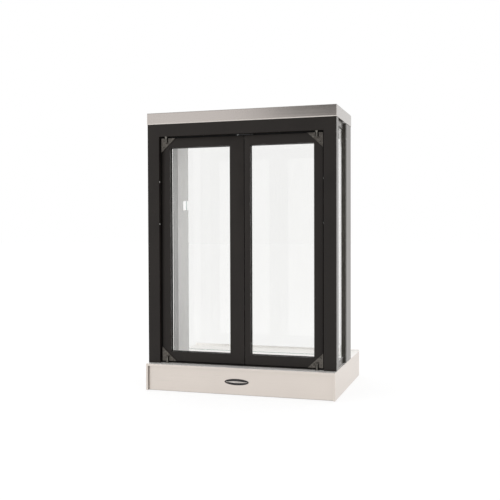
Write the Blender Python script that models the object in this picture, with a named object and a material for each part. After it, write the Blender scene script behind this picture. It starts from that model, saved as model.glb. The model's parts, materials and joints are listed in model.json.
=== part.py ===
"""Countertop food holding cabinet: a glazed upper body on a heated base.

The upper body is a black front frame with two pivot-hung glass doors, stainless
side panels with recessed side windows, a stainless cap and one frameless glass
door at the back.  The base holds the heater, the blower and the controls.

Dimensions are in millimetres.  x is measured from the middle of the cabinet,
y from the front plane of the upper body and z from the top of the deck; the
shape builders shift every point to the shared origin under the middle of the
base and scale it to metres.  +Z is up and the doors face -Y.
"""

import math

import bmesh
import bpy
from mathutils import Matrix, Vector

# ---------------------------------------------------------------- dimensions
MM = 0.001
SHIFT = Vector((0.0, -199.0, 86.5))

GAP = 0.3
SHEET = 1.5
HALF_WIDTH = 305.0

BASE_FRONT = -23.0
BASE_BACK = 421.0
BASE_BOTTOM = -84.5
FLOOR_LEVEL = -86.5
BASE_STRIP = 6.5
BASE_TOP_STRIP = 7.0
PANEL_FACE = -15.0
PANEL_BACK = -9.0
PANEL_BOTTOM = -83.5
NAMEPLATE_X = -3.9
NAMEPLATE_Z = -44.7
NAMEPLATE_HALF_X = 39.0
NAMEPLATE_HALF_Z = 9.6
NAMEPLATE_RIM = 2.2
DECK_LIP = 5.5
CONTROL_PLANE = 396.0

BODY_BACK = 249.0
FRAME_TOP = 780.0
PANEL_TOP = 792.0
CAP_BOTTOM = 760.0
CAP_TOP = 796.0
CAP_OVERHANG = 1.5
CAP_SHEET = 1.2

STILE = 39.0
FRAME_SHEET = 2.0
FRAME_DEPTH = 31.0
SILL_TOP = 3.3
SILL_FRONT = 14.0
HEAD_UNDERSIDE = 721.0

POST_DEPTH = 33.0
REAR_POST_START = 155.0
SIDE_RECESS = 7.0
SIDE_REVEAL = 7.0
SIDE_WINDOW_FRONT = 45.0
SIDE_WINDOW_BOTTOM = 20.0
SIDE_WINDOW_TOP = 741.0
PANE_OVERLAP = 8.0
RETAINER_OVERLAP = 10.0
RETAINER_OPENING = 4.0
CEILING = 752.0
GLASS = 4.0
REAR_STILE_LEFT = 40.0
REAR_STILE_RIGHT = 28.0
NOTCH_DEPTH = 19.0
NOTCH_BOTTOM = 495.0
NOTCH_TOP = 526.0

DOOR_FACE = 13.0
DOOR_BACK = 35.0
DOOR_BOTTOM = 6.5
DOOR_TOP = 716.0
DOOR_OUTER = 262.0
SEAM = 13.8
SEAM_GAP = 2.0
DOOR_STILE = 28.0
DOOR_RAIL = 30.0
LEFT_MEETING_STILE = 46.0
RIGHT_MEETING_STILE = 18.0
REBATE = 8.0

PIVOT_X = 244.0
PIVOT_Y = 7.0
PIVOT_PIN_R = 2.9
PIVOT_HOLE_R = 3.0
BRACKET_FACE = 10.7
BRACKET_SHEET = 2.0
BRACKET_LEG_X = 48.0
BRACKET_LEG_Z = 44.0
BRACKET_SLOT = 10.4
BRACKET_SLOT_DEPTH = 13.0

REAR_PANE_FRONT = 252.3
REAR_PANE_THICK = 5.0
REAR_PIVOT_X = 291.0
REAR_PIVOT_Y = 254.8
REAR_CLAMP_R = 5.2

CONTROL_Z = -42.0
KNOB_X = -190.0
PILOT_X = -142.0
SWITCH_X = -95.0
INLET_X = 200.0

PAN_FLOOR = -82.4
BLOWER_X = 60.0
BLOWER_Y = 310.0
SCROLL_START_R = 50.0
SCROLL_GROWTH = 22.0
SCROLL_TURN = 315
SCROLL_STEP = 15
SCROLL_FIRST = 45
SCROLL_BOTTOM = -60.0
SCROLL_TOP = -18.0
SCROLL_MOUTH = 245.0
WHEEL_R = 44.0
WHEEL_BLADES = 18

HEATER_Z = -30.0
HEATER_R = 4.0
HEATER_PASSES = 4
HEATER_PITCH = 35.0
HEATER_FIRST = 80.0
HEATER_END = 205.0
HEATER_LEAD = 40.0
HEATER_BEND_STEPS = 8
HEATER_SIDES = 12
HEATER_BRACKET_X = 150.0
HEATER_BRACKET_FOOT = 18.0


# ------------------------------------------------------------------ finishes
STEEL = ((0.62, 0.60, 0.58), 1.0, 0.32, 0.0)
BLACK = ((0.030, 0.028, 0.026), 0.0, 0.42, 0.0)
DARK = ((0.020, 0.020, 0.021), 0.0, 0.55, 0.0)
CLEAR = ((0.92, 0.96, 0.95), 0.0, 0.03, 1.0)
ZINC = ((0.42, 0.41, 0.39), 1.0, 0.42, 0.0)
ALLOY = ((0.74, 0.74, 0.75), 1.0, 0.38, 0.0)
WHITE = ((0.85, 0.85, 0.83), 0.0, 0.45, 0.0)
GLOW = ((0.95, 0.94, 0.88), 0.0, 0.30, 0.2)
RED = ((0.55, 0.03, 0.02), 0.0, 0.25, 0.3)


def finish(obj, look):
    """Give the object a surface of its own."""
    colour, metallic, roughness, transmission = look
    material = bpy.data.materials.new(obj.name)
    material.use_nodes = True
    shader = material.node_tree.nodes["Principled BSDF"]
    shader.inputs["Base Color"].default_value = (*colour, 1.0)
    shader.inputs["Metallic"].default_value = metallic
    shader.inputs["Roughness"].default_value = roughness
    shader.inputs["Transmission Weight"].default_value = transmission
    obj.data.materials.clear()
    obj.data.materials.append(material)
    return obj


# ------------------------------------------------------------ shape builders
def place(x, y, z):
    """Cabinet millimetres to shared metres."""
    return (Vector((x, y, z)) + SHIFT) * MM


def to_object(name, bm):
    bmesh.ops.recalc_face_normals(bm, faces=bm.faces)
    mesh = bpy.data.meshes.new(name)
    bm.to_mesh(mesh)
    bm.free()
    obj = bpy.data.objects.new(name, mesh)
    bpy.context.scene.collection.objects.link(obj)
    return obj


def round_edges(bm, wanted, width, segments):
    """Round the edges whose middle point satisfies the test."""
    edges = [
        edge
        for edge in bm.edges
        if wanted((edge.verts[0].co + edge.verts[1].co) / 2 / MM - SHIFT)
    ]
    bmesh.ops.bevel(
        bm,
        geom=edges,
        offset=width * MM,
        segments=segments,
        profile=0.5,
        affect="EDGES",
        clamp_overlap=True,
    )


def block(name, x, y, z, wanted=None, width=0.8, segments=2):
    """Rectangular solid, with chosen edges rounded."""
    bm = bmesh.new()
    low = place(x[0], y[0], z[0])
    high = place(x[1], y[1], z[1])
    bmesh.ops.create_cube(bm, size=1.0)
    bmesh.ops.scale(bm, vec=high - low, verts=bm.verts)
    bmesh.ops.translate(bm, vec=(low + high) / 2, verts=bm.verts)
    if wanted:
        round_edges(bm, wanted, width, segments)
    return to_object(name, bm)


def blocks(name, boxes):
    """Several rectangular solids in one object, used as one tool."""
    bm = bmesh.new()
    for x, y, z in boxes:
        low = place(x[0], y[0], z[0])
        high = place(x[1], y[1], z[1])
        made = bmesh.ops.create_cube(bm, size=1.0)["verts"]
        bmesh.ops.scale(bm, vec=high - low, verts=made)
        bmesh.ops.translate(bm, vec=(low + high) / 2, verts=made)
    return to_object(name, bm)


def prism(name, outline, axis, span, wanted=None, width=0.8, segments=2):
    """Extrude an outline along an axis; the outline uses the other two axes."""
    bm = bmesh.new()
    verts = []
    for first, second in outline:
        if axis == "x":
            point = place(span[0], first, second)
        elif axis == "y":
            point = place(first, span[0], second)
        else:
            point = place(first, second, span[0])
        verts.append(bm.verts.new(point))
    face = bm.faces.new(verts)
    step = Vector((0.0, 0.0, 0.0))
    step["xyz".index(axis)] = (span[1] - span[0]) * MM
    made = bmesh.ops.extrude_face_region(bm, geom=[face])["geom"]
    moved = [item for item in made if isinstance(item, bmesh.types.BMVert)]
    bmesh.ops.translate(bm, vec=step, verts=moved)
    if wanted:
        round_edges(bm, wanted, width, segments)
    return to_object(name, bm)


def rod(name, centre, axis, span, radius, end_radius=None, segments=32):
    """Cylinder or cone along an axis; centre gives the other two coordinates."""
    bm = bmesh.new()
    length = (span[1] - span[0]) * MM
    top = radius if end_radius is None else end_radius
    bmesh.ops.create_cone(
        bm,
        cap_ends=True,
        cap_tris=False,
        segments=segments,
        radius1=radius * MM,
        radius2=top * MM,
        depth=length,
    )
    middle = (span[0] + span[1]) / 2
    if axis == "x":
        turn = Matrix.Rotation(math.pi / 2, 4, "Y")
        where = place(middle, centre[0], centre[1])
    elif axis == "y":
        turn = Matrix.Rotation(-math.pi / 2, 4, "X")
        where = place(centre[0], middle, centre[1])
    else:
        turn = Matrix.Identity(4)
        where = place(centre[0], centre[1], middle)
    bmesh.ops.transform(bm, matrix=Matrix.Translation(where) @ turn, verts=bm.verts)
    return to_object(name, bm)


def oval(centre, half_x, half_z, count):
    """Points of an ellipse."""
    points = []
    for index in range(count):
        angle = 2 * math.pi * index / count
        x = centre[0] + half_x * math.cos(angle)
        z = centre[1] + half_z * math.sin(angle)
        points.append((x, z))
    return points


def smooth(obj, degrees=35.0):
    obj.data.shade_smooth()
    obj.data.set_sharp_from_angle(angle=math.radians(degrees))
    return obj


def boolean(obj, tool, operation):
    tool.hide_render = True
    tool.display_type = "WIRE"
    modifier = obj.modifiers.new(tool.name, "BOOLEAN")
    modifier.operation = operation
    modifier.solver = "EXACT"
    modifier.object = tool
    return obj


def cut(obj, tool):
    return boolean(obj, tool, "DIFFERENCE")


def fuse(obj, tool):
    return boolean(obj, tool, "UNION")


def axis_empty(name, x, y, z, children):
    """Empty on a joint axis that carries the pieces turning on it."""
    empty = bpy.data.objects.new(name, None)
    empty.empty_display_size = 0.03
    empty.location = place(x, y, z)
    bpy.context.scene.collection.objects.link(empty)
    for child in children:
        child.parent = empty
        child.matrix_parent_inverse = Matrix.Translation(-empty.location)
    return empty


# ---------------------------------------------------------------------- base
def build_base():
    half = HALF_WIDTH
    side = [
        (BASE_FRONT, BASE_BOTTOM),
        (BASE_BACK, BASE_BOTTOM),
        (BASE_BACK, DECK_LIP),
        (BASE_BACK - SHEET, DECK_LIP),
        (BASE_BACK - SHEET, 0.0),
        (BASE_FRONT, 0.0),
    ]
    shell = prism(
        "base_shell",
        side,
        "x",
        (-half, half),
        lambda p: p.y < BASE_FRONT + 0.1 and (p.z > -1.0 or abs(p.x) > half - 1),
        width=1.2,
    )
    inside = block(
        "base_shell_inside",
        (-half + SHEET, half - SHEET),
        (BASE_FRONT + SHEET, BASE_BACK - SHEET),
        (BASE_BOTTOM - 5, -SHEET),
    )
    window = block(
        "base_shell_ends",
        (-half + BASE_STRIP, half - BASE_STRIP),
        (BASE_FRONT - 5, BASE_BACK + 5),
        (BASE_BOTTOM - 5, -BASE_TOP_STRIP),
    )
    hot_air = block("base_shell_air_opening", (-235, 235), (50, 215), (-10, 10))
    cut(cut(cut(shell, inside), window), hot_air)
    finish(shell, STEEL)

    front = block(
        "base_front_panel",
        (-half + 2.1, half - 2.1),
        (PANEL_FACE, PANEL_BACK),
        (PANEL_BOTTOM, -SHEET - GAP),
    )
    behind = block(
        "base_front_panel_inside",
        (-half - 5, half + 5),
        (PANEL_FACE + 1.2, PANEL_BACK + 5),
        (PANEL_BOTTOM + 1.2, -SHEET - GAP - 1.2),
    )
    finish(cut(front, behind), STEEL)

    plate_back = PANEL_FACE - GAP
    plate_face = plate_back - 1.4
    centre = (NAMEPLATE_X, NAMEPLATE_Z)
    plate = prism(
        "nameplate",
        oval(centre, NAMEPLATE_HALF_X, NAMEPLATE_HALF_Z, 48),
        "y",
        (plate_face, plate_back),
    )
    rim = NAMEPLATE_RIM
    field = prism(
        "nameplate_field",
        oval(centre, NAMEPLATE_HALF_X - rim, NAMEPLATE_HALF_Z - rim, 48),
        "y",
        (plate_face - 2, plate_face + 0.5),
    )
    smooth(finish(cut(plate, field), DARK), 30)

    pan = block(
        "base_bottom_pan",
        (-half + 2.1, half - 2.1),
        (PANEL_BACK + 0.5, CONTROL_PLANE - 0.6),
        (BASE_BOTTOM + GAP, -70.0),
    )
    tray = block(
        "base_bottom_pan_inside",
        (-half + 3.6, half - 3.6),
        (PANEL_BACK + 2.0, CONTROL_PLANE - 2.1),
        (BASE_BOTTOM + GAP + SHEET, -60.0),
    )
    finish(cut(pan, tray), STEEL)

    for name, x, y in (
        ("foot_front_left", -260, 20),
        ("foot_front_right", 260, 20),
        ("foot_rear_left", -260, 370),
        ("foot_rear_right", 260, 370),
    ):
        foot = rod(name, (x, y), "z", (FLOOR_LEVEL, BASE_BOTTOM), 15.0)
        smooth(finish(foot, DARK))

    grille = block("floor_grille", (-255, 255), (36, 236), (GAP, GAP + SHEET))
    slots = []
    for row in range(5):
        for column in range(8):
            x = -192.5 + 55 * column
            y = 70 + 31.25 * row
            slots.append(((x - 20, x + 20), (y - 2.5, y + 2.5), (-3, 6)))
    finish(cut(grille, blocks("floor_grille_slots", slots)), STEEL)


def heater_path():
    """Centre line of the element: straight passes joined by half-circle bends."""
    bend = HEATER_PITCH / 2
    reach = HEATER_END - bend
    path = [(-HEATER_END - HEATER_LEAD, HEATER_FIRST)]
    for index in range(HEATER_PASSES - 1):
        y = HEATER_FIRST + HEATER_PITCH * index
        way = 1 if index % 2 == 0 else -1
        for step in range(HEATER_BEND_STEPS + 1):
            angle = math.pi * step / HEATER_BEND_STEPS
            x = way * (reach + bend * math.sin(angle))
            path.append((x, y + bend - bend * math.cos(angle)))
    path.append((-HEATER_END - HEATER_LEAD, path[-1][1]))
    return path


def build_heater():
    bm = bmesh.new()
    rings = []
    path = heater_path()
    for index, point in enumerate(path):
        before = path[max(index - 1, 0)]
        after = path[min(index + 1, len(path) - 1)]
        along = Vector((after[0] - before[0], after[1] - before[1], 0)).normalized()
        across = Vector((-along.y, along.x, 0))
        centre = place(point[0], point[1], HEATER_Z)
        ring = []
        for side in range(HEATER_SIDES):
            angle = 2 * math.pi * side / HEATER_SIDES
            offset = across * math.cos(angle) + Vector((0, 0, math.sin(angle)))
            ring.append(bm.verts.new(centre + offset * HEATER_R * MM))
        rings.append(ring)
    for first, second in zip(rings, rings[1:]):
        for side in range(HEATER_SIDES):
            other = (side + 1) % HEATER_SIDES
            bm.faces.new((first[side], first[other], second[other], second[side]))
    bm.faces.new(rings[0])
    bm.faces.new(rings[-1])
    smooth(finish(to_object("heater_element", bm), DARK), 50)

    last = HEATER_FIRST + HEATER_PITCH * (HEATER_PASSES - 1)
    depth = (HEATER_FIRST - 14, last + 14)
    for tag, side in (("left", -1), ("right", 1)):
        name = "heater_bracket_" + tag
        outer = side * HEATER_BRACKET_X
        web = tuple(sorted((outer, outer - side * SHEET)))
        foot = tuple(sorted((outer, outer - side * HEATER_BRACKET_FOOT)))
        bracket = block(name, web, depth, (PAN_FLOOR, HEATER_Z + 12))
        fuse(bracket, block(name + "_foot", foot, depth, (PAN_FLOOR, PAN_FLOOR + SHEET)))
        notches = []
        for index in range(HEATER_PASSES):
            y = HEATER_FIRST + HEATER_PITCH * index
            wide = HEATER_R + GAP
            notches.append(((web[0] - 3, web[1] + 3), (y - wide, y + wide),
                            (HEATER_Z - wide, HEATER_Z + 20)))
        finish(cut(bracket, blocks(name + "_notches", notches)), ZINC)


def scroll_outline(inset):
    """Snail-shell outline of the blower with its outlet towards the heater."""
    points = []
    for turned in range(0, SCROLL_TURN + 1, SCROLL_STEP):
        angle = math.radians(SCROLL_FIRST + turned)
        radius = SCROLL_START_R + SCROLL_GROWTH * turned / SCROLL_TURN - inset
        x = BLOWER_X + radius * math.cos(-angle)
        y = BLOWER_Y + radius * math.sin(-angle)
        points.append((x, y))
    mouth = SCROLL_MOUTH if inset == 0 else SCROLL_MOUTH - 15
    throat = SCROLL_START_R * math.cos(math.radians(SCROLL_FIRST))
    left = BLOWER_X + throat + inset
    points.append((BLOWER_X + SCROLL_START_R + SCROLL_GROWTH - inset, mouth))
    points.append((left, mouth))
    if inset:
        points.append((left, BLOWER_Y - throat + inset))
    return points


def build_blower():
    span = (SCROLL_BOTTOM, SCROLL_TOP)
    inner_span = (SCROLL_BOTTOM + SHEET, SCROLL_TOP - SHEET)
    housing = prism("blower_housing", scroll_outline(0), "z", span)
    hollow = prism("blower_housing_inside", scroll_outline(SHEET), "z", inner_span)
    centre = (BLOWER_X, BLOWER_Y)
    inlet = rod("blower_housing_inlet", centre, "z", (SCROLL_TOP - 7, SCROLL_TOP + 8), 33)
    shaft_hole = rod("blower_housing_shaft_hole", centre, "z",
                     (SCROLL_BOTTOM - 5, SCROLL_BOTTOM + 10), 6)
    cut(cut(cut(housing, hollow), inlet), shaft_hole)
    smooth(finish(housing, ZINC), 30)

    wheel = rod("blower_wheel", centre, "z", (-57.5, -56.0), WHEEL_R, segments=48)
    bm = bmesh.new()
    for index in range(WHEEL_BLADES):
        made = bmesh.ops.create_cube(bm, size=1.0)["verts"]
        size = Vector((8.2, 1.2, 33.6)) * MM
        bmesh.ops.scale(bm, vec=size, verts=made)
        tilt = Matrix.Rotation(math.radians(28), 4, "Z")
        away = Matrix.Translation((39.4 * MM, 0, 0))
        turn = Matrix.Rotation(2 * math.pi * index / WHEEL_BLADES, 4, "Z")
        where = Matrix.Translation(place(BLOWER_X, BLOWER_Y, -39.6))
        bmesh.ops.transform(bm, matrix=where @ turn @ away @ tilt, verts=made)
    fuse(wheel, to_object("blower_wheel_blades", bm))
    ring = rod("blower_wheel_ring", centre, "z", (-24, -22), WHEEL_R, segments=48)
    eye = rod("blower_wheel_eye", centre, "z", (-30, -15), 35, segments=48)
    fuse(wheel, cut(ring, eye))
    fuse(wheel, rod("blower_wheel_hub", centre, "z", (-57.2, -44), 9))
    cut(wheel, rod("blower_wheel_bore", centre, "z", (-70, -40), 3.1))
    smooth(finish(wheel, ALLOY), 30)
    axis_empty("blower_axis", BLOWER_X, BLOWER_Y, -40, [wheel])

    motor = rod("blower_motor", centre, "z", (PAN_FLOOR, SCROLL_BOTTOM - GAP), 34, segments=40)
    fuse(motor, rod("blower_motor_shaft", centre, "z", (-70, -46), 3.0))
    smooth(finish(motor, DARK), 30)


def build_controls():
    half = HALF_WIDTH
    panel = block(
        "control_panel",
        (-half + 1.8, half - 1.8),
        (CONTROL_PLANE, CONTROL_PLANE + 1.2),
        (BASE_BOTTOM + GAP, -SHEET - GAP),
    )
    deep = (CONTROL_PLANE - 5, CONTROL_PLANE + 5)
    z = CONTROL_Z
    cut(panel, rod("control_panel_knob_hole", (KNOB_X, z), "y", deep, 4.0))
    cut(panel, rod("control_panel_pilot_hole", (PILOT_X, z), "y", deep, 3.1))
    openings = [
        ((SWITCH_X - 14, SWITCH_X + 14), deep, (z - 10, z + 10)),
        ((INLET_X - 16.5, INLET_X + 16.5), deep, (z - 11.5, z + 11.5)),
    ]
    for index in range(10):
        x = -30 + 16 * index
        openings.append(((x - 2.5, x + 2.5), deep, (z - 22, z + 22)))
    finish(cut(panel, blocks("control_panel_openings", openings)), STEEL)

    face = CONTROL_PLANE + 1.2 + GAP
    back = CONTROL_PLANE - GAP
    thermostat = block(
        "thermostat_body", (KNOB_X - 22, KNOB_X + 22), (362, back), (z - 20, z + 20)
    )
    fuse(thermostat, rod("thermostat_shaft", (KNOB_X, z), "y", (380, 411), 3.0))
    finish(thermostat, ZINC)

    grip = []
    for index in range(72):
        angle = 2 * math.pi * index / 72
        radius = 18.0 if index % 4 < 2 else 17.2
        grip.append((KNOB_X + radius * math.cos(angle), z + radius * math.sin(angle)))
    knob = prism("thermostat_knob", grip, "y", (face + 0.8, 416))
    pointer = block("thermostat_knob_pointer", (KNOB_X - 1.5, KNOB_X + 1.5), (414, 417.5),
                    (z + 2, z + 16))
    bore = rod("thermostat_knob_bore", (KNOB_X, z), "y", (face - 3, 412), 3.1)
    smooth(finish(cut(fuse(knob, pointer), bore), DARK), 30)
    axis_empty("thermostat_axis", KNOB_X, 407, z, [knob])

    bezel = block(
        "power_switch_body", (SWITCH_X - 16, SWITCH_X + 16), (face, face + 2), (z - 12, z + 12)
    )
    fuse(bezel, block("power_switch_case", (SWITCH_X - 13.5, SWITCH_X + 13.5), (372, face + 1),
                      (z - 9.5, z + 9.5)))
    cut(bezel, block("power_switch_well", (SWITCH_X - 11, SWITCH_X + 11), (386, face + 5),
                     (z - 8, z + 8)))
    finish(bezel, DARK)

    pivot = 392.0
    shape = []
    for dy, dz in ((8.0, 6.4), (6.4, 0.0), (8.0, -6.4), (-2.5, -5.0), (-4.0, 0.0), (-2.5, 5.0)):
        tilt = math.radians(10)
        y = pivot + dy * math.cos(tilt) - dz * math.sin(tilt)
        shape.append((y, z + dy * math.sin(tilt) + dz * math.cos(tilt)))
    rocker = prism("power_rocker", shape, "x", (SWITCH_X - 10.6, SWITCH_X + 10.6))
    finish(rocker, BLACK)
    axis_empty("power_rocker_axis", SWITCH_X, pivot, z, [rocker])

    pilot = rod("pilot_light", (PILOT_X, z), "y", (face, face + 3.5), 5.0, 4.2)
    fuse(pilot, rod("pilot_light_stem", (PILOT_X, z), "y", (384, face + 1), 2.8))
    smooth(finish(pilot, RED))

    inlet = block("power_inlet", (INLET_X - 24, INLET_X + 24), (face, face + 2), (z - 14, z + 14))
    fuse(inlet, block("power_inlet_case", (INLET_X - 16, INLET_X + 16), (370, face + 1),
                      (z - 11, z + 11)))
    cut(inlet, block("power_inlet_well", (INLET_X - 13, INLET_X + 13), (381, face + 5),
                     (z - 8.5, z + 8.5)))
    blades = [((INLET_X + dx - 0.9, INLET_X + dx + 0.9), (379, 394), (z + dz - 2, z + dz + 2))
              for dx, dz in ((-7, -1.5), (0, 2.5), (7, -1.5))]
    finish(fuse(inlet, blocks("power_inlet_blades", blades)), DARK)


# ---------------------------------------------------------------- upper body
def build_cap():
    half = HALF_WIDTH + CAP_OVERHANG
    front = -CAP_OVERHANG
    back = BODY_BACK + CAP_OVERHANG
    cap = block(
        "top_cap",
        (-half, half),
        (front, back),
        (CAP_BOTTOM, CAP_TOP),
        lambda p: p.z > CAP_BOTTOM + 1,
        width=1.1,
        segments=3,
    )
    inside = block(
        "top_cap_inside",
        (-half + CAP_SHEET, half - CAP_SHEET),
        (front + CAP_SHEET, back - CAP_SHEET),
        (CAP_BOTTOM - 10, CAP_TOP - CAP_SHEET),
    )
    smooth(finish(cut(cap, inside), STEEL), 40)


def build_face_frame():
    half = HALF_WIDTH
    opening = half - STILE
    frame = block(
        "face_frame",
        (-half, half),
        (0, FRAME_DEPTH),
        (GAP, FRAME_TOP),
        lambda p: p.y < 0.1 and abs(p.x) > half - 1,
        width=0.8,
    )
    cut(frame, block("face_frame_opening", (-opening, opening), (-5, 40),
                     (SILL_TOP, HEAD_UNDERSIDE)))
    behind = opening + FRAME_SHEET
    hollows = [
        ((-half - 5, -behind), (FRAME_SHEET, 40), (-5, FRAME_TOP + 5)),
        ((behind, half + 5), (FRAME_SHEET, 40), (-5, FRAME_TOP + 5)),
    ]
    cut(frame, blocks("face_frame_stile_hollows", hollows))
    head = block("face_frame_head_hollow", (-half - 5, half + 5), (FRAME_SHEET, 40),
                 (HEAD_UNDERSIDE + FRAME_SHEET, FRAME_TOP + 5))
    cut(frame, head)
    cut(frame, block("face_frame_sill_relief", (-opening, opening), (-5, SILL_FRONT),
                     (-5, SILL_TOP + 1)))
    finish(frame, BLACK)


def build_side(name, side, rear_stile):
    """Folded side panel: front post, recessed window and rear post."""
    half = HALF_WIDTH

    def across(inner, outer):
        return tuple(sorted((side * inner, side * outer)))

    tall = (GAP, PANEL_TOP)
    recess = half - SIDE_RECESS
    reveal = recess - SIDE_REVEAL
    rear = REAR_POST_START
    panel = block(name, across(recess - SHEET, recess), (POST_DEPTH - SHEET, rear + SHEET), tall)
    fuse(panel, block(name + "_front_skin", across(half - SHEET, half), (2.3, POST_DEPTH), tall))
    fuse(panel, block(name + "_post_back", across(half - STILE, half),
                      (POST_DEPTH - SHEET, POST_DEPTH), tall))
    fuse(panel, block(name + "_step", across(recess - SHEET, half), (rear, rear + SHEET), tall))
    fuse(panel, block(name + "_rear_skin", across(half - SHEET, half), (rear, BODY_BACK), tall))
    fuse(panel, block(name + "_rear_stile", across(half - rear_stile, half),
                      (BODY_BACK - SHEET, BODY_BACK), tall))
    fuse(panel, block(name + "_window_box", across(reveal, recess),
                      (SIDE_WINDOW_FRONT - SHEET, rear + SHEET),
                      (SIDE_WINDOW_BOTTOM - SHEET, SIDE_WINDOW_TOP + SHEET)))
    cut(panel, block(name + "_window", across(reveal - 10, recess + 2),
                     (SIDE_WINDOW_FRONT, rear), (SIDE_WINDOW_BOTTOM, SIDE_WINDOW_TOP)))
    if side < 0:
        edge = half - rear_stile
        cut(panel, block(name + "_finger_notch", across(edge - 5, edge + NOTCH_DEPTH),
                         (BODY_BACK - 10, BODY_BACK + 10), (NOTCH_BOTTOM, NOTCH_TOP)))
    finish(panel, STEEL)

    tag = name.split("_")[-1]
    outer = reveal - GAP
    pane = block("side_glass_" + tag, across(outer - GLASS, outer),
                 (SIDE_WINDOW_FRONT - PANE_OVERLAP + 1, rear + PANE_OVERLAP),
                 (SIDE_WINDOW_BOTTOM - PANE_OVERLAP, SIDE_WINDOW_TOP + PANE_OVERLAP))
    finish(pane, CLEAR)
    near = outer - GLASS - GAP
    retainer = block("side_retainer_" + tag, across(near - 2, near),
                     (SIDE_WINDOW_FRONT - RETAINER_OVERLAP + 1, rear + RETAINER_OVERLAP),
                     (SIDE_WINDOW_BOTTOM - RETAINER_OVERLAP, SIDE_WINDOW_TOP + RETAINER_OVERLAP))
    cut(retainer, block("side_retainer_hole_" + tag, across(near - 10, near + 3),
                        (SIDE_WINDOW_FRONT - RETAINER_OPENING, rear + RETAINER_OPENING),
                        (SIDE_WINDOW_BOTTOM - RETAINER_OPENING,
                         SIDE_WINDOW_TOP + RETAINER_OPENING)))
    finish(retainer, ALLOY)


def build_inside():
    half = HALF_WIDTH
    wide = half - SHEET - GAP
    header_front = BODY_BACK - 2 * SHEET - GAP
    header = block("rear_header", (-wide, wide), (header_front, header_front + SHEET),
                   (HEAD_UNDERSIDE, PANEL_TOP))
    fuse(header, block("rear_header_return", (-wide, wide), (225, header_front + SHEET),
                       (HEAD_UNDERSIDE, HEAD_UNDERSIDE + SHEET)))
    finish(header, STEEL)

    level = (CEILING, CEILING + SHEET)
    back = header_front - GAP
    middle = half - SIDE_RECESS - SHEET - GAP
    opening = half - STILE - 0.5
    ceiling = block("ceiling_panel", (-middle, middle), (POST_DEPTH + GAP, back), level)
    fuse(ceiling, block("ceiling_panel_rear", (-wide, wide), (157, back), level))
    fuse(ceiling, block("ceiling_panel_front", (-opening, opening), (FRAME_DEPTH + 0.4, 60), level))
    fuse(ceiling, block("ceiling_panel_flange", (-opening, opening),
                        (FRAME_DEPTH + 0.4, FRAME_DEPTH + 1.9), (HEAD_UNDERSIDE, level[1])))
    cut(ceiling, block("ceiling_panel_lamp_opening", (-160, 160), (115, 165), (730, 760)))
    finish(ceiling, STEEL)

    top = level[1] + GAP
    housing = block("lamp_housing", (-164.7, 164.7), (110.3, 169.7), (top, 786))
    cut(housing, block("lamp_housing_inside", (-163.5, 163.5), (111.5, 168.5), (730, 784.8)))
    finish(housing, ALLOY)
    finish(block("lamp_lens", (-163, 163), (112, 168), (top, top + 2)), GLOW)
    smooth(finish(rod("lamp_tube", (140, 768), "x", (-140, 140), 8, segments=20), WHITE))
    finish(block("lamp_socket_left", (-156, -140.3), (130, 150), (757, 784.5)), WHITE)
    finish(block("lamp_socket_right", (140.3, 156), (130, 150), (757, 784.5)), WHITE)


# --------------------------------------------------------------------- doors
def build_pivot(name, side, edge, way):
    """Corner bracket of a door and the pin it turns on.

    way is +1 at the bottom corner and -1 at the top corner.
    """
    corner = side * DOOR_OUTER
    inward = -side
    outline = [
        (corner, edge),
        (corner + inward * BRACKET_LEG_X, edge),
        (corner, edge + way * BRACKET_LEG_Z),
    ]
    face = (BRACKET_FACE, BRACKET_FACE + BRACKET_SHEET)
    bracket = prism("pivot_bracket_" + name, outline, "y", face)
    axis_x = side * PIVOT_X
    slot_z = sorted((edge - way * 5, edge + way * BRACKET_SLOT_DEPTH))
    cut(bracket, block("pivot_slot_" + name,
                       (axis_x - BRACKET_SLOT / 2, axis_x + BRACKET_SLOT / 2), (5, 20), slot_z))
    ear_z = sorted((edge + way * BRACKET_SLOT_DEPTH, edge + way * (BRACKET_SLOT_DEPTH + 2)))
    fuse(bracket, block("pivot_ear_" + name, (axis_x - 5, axis_x + 5), (0.8, 11.7), ear_z))
    hole_z = (ear_z[0] - 3, ear_z[1] + 3)
    cut(bracket, rod("pivot_hole_" + name, (axis_x, PIVOT_Y), "z", hole_z, PIVOT_HOLE_R))
    for index, (dx, dz) in enumerate(((9, 30), (29, 11))):
        at = (corner + inward * dx, edge + way * dz)
        head = rod("pivot_screw_%s_%d" % (name, index), at, "y", (9.3, 11.5), 2.4, 3.2, 20)
        fuse(bracket, head)
    smooth(finish(bracket, ZINC), 30)

    reach = edge + way * (BRACKET_SLOT_DEPTH + 3.5)
    if way > 0:
        cone = rod("pivot_pin_" + name, (axis_x, PIVOT_Y), "z", (GAP, 7.0), 5.5, PIVOT_PIN_R)
        stem = (6.0, reach)
    else:
        high = HEAD_UNDERSIDE - GAP
        cone = rod("pivot_pin_" + name, (axis_x, PIVOT_Y), "z", (high - 6.7, high), PIVOT_PIN_R,
                   5.5)
        stem = (reach, high - 5.7)
    fuse(cone, rod("pivot_stem_" + name, (axis_x, PIVOT_Y), "z", stem, PIVOT_PIN_R))
    smooth(finish(cone, ALLOY), 25)
    return bracket


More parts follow.
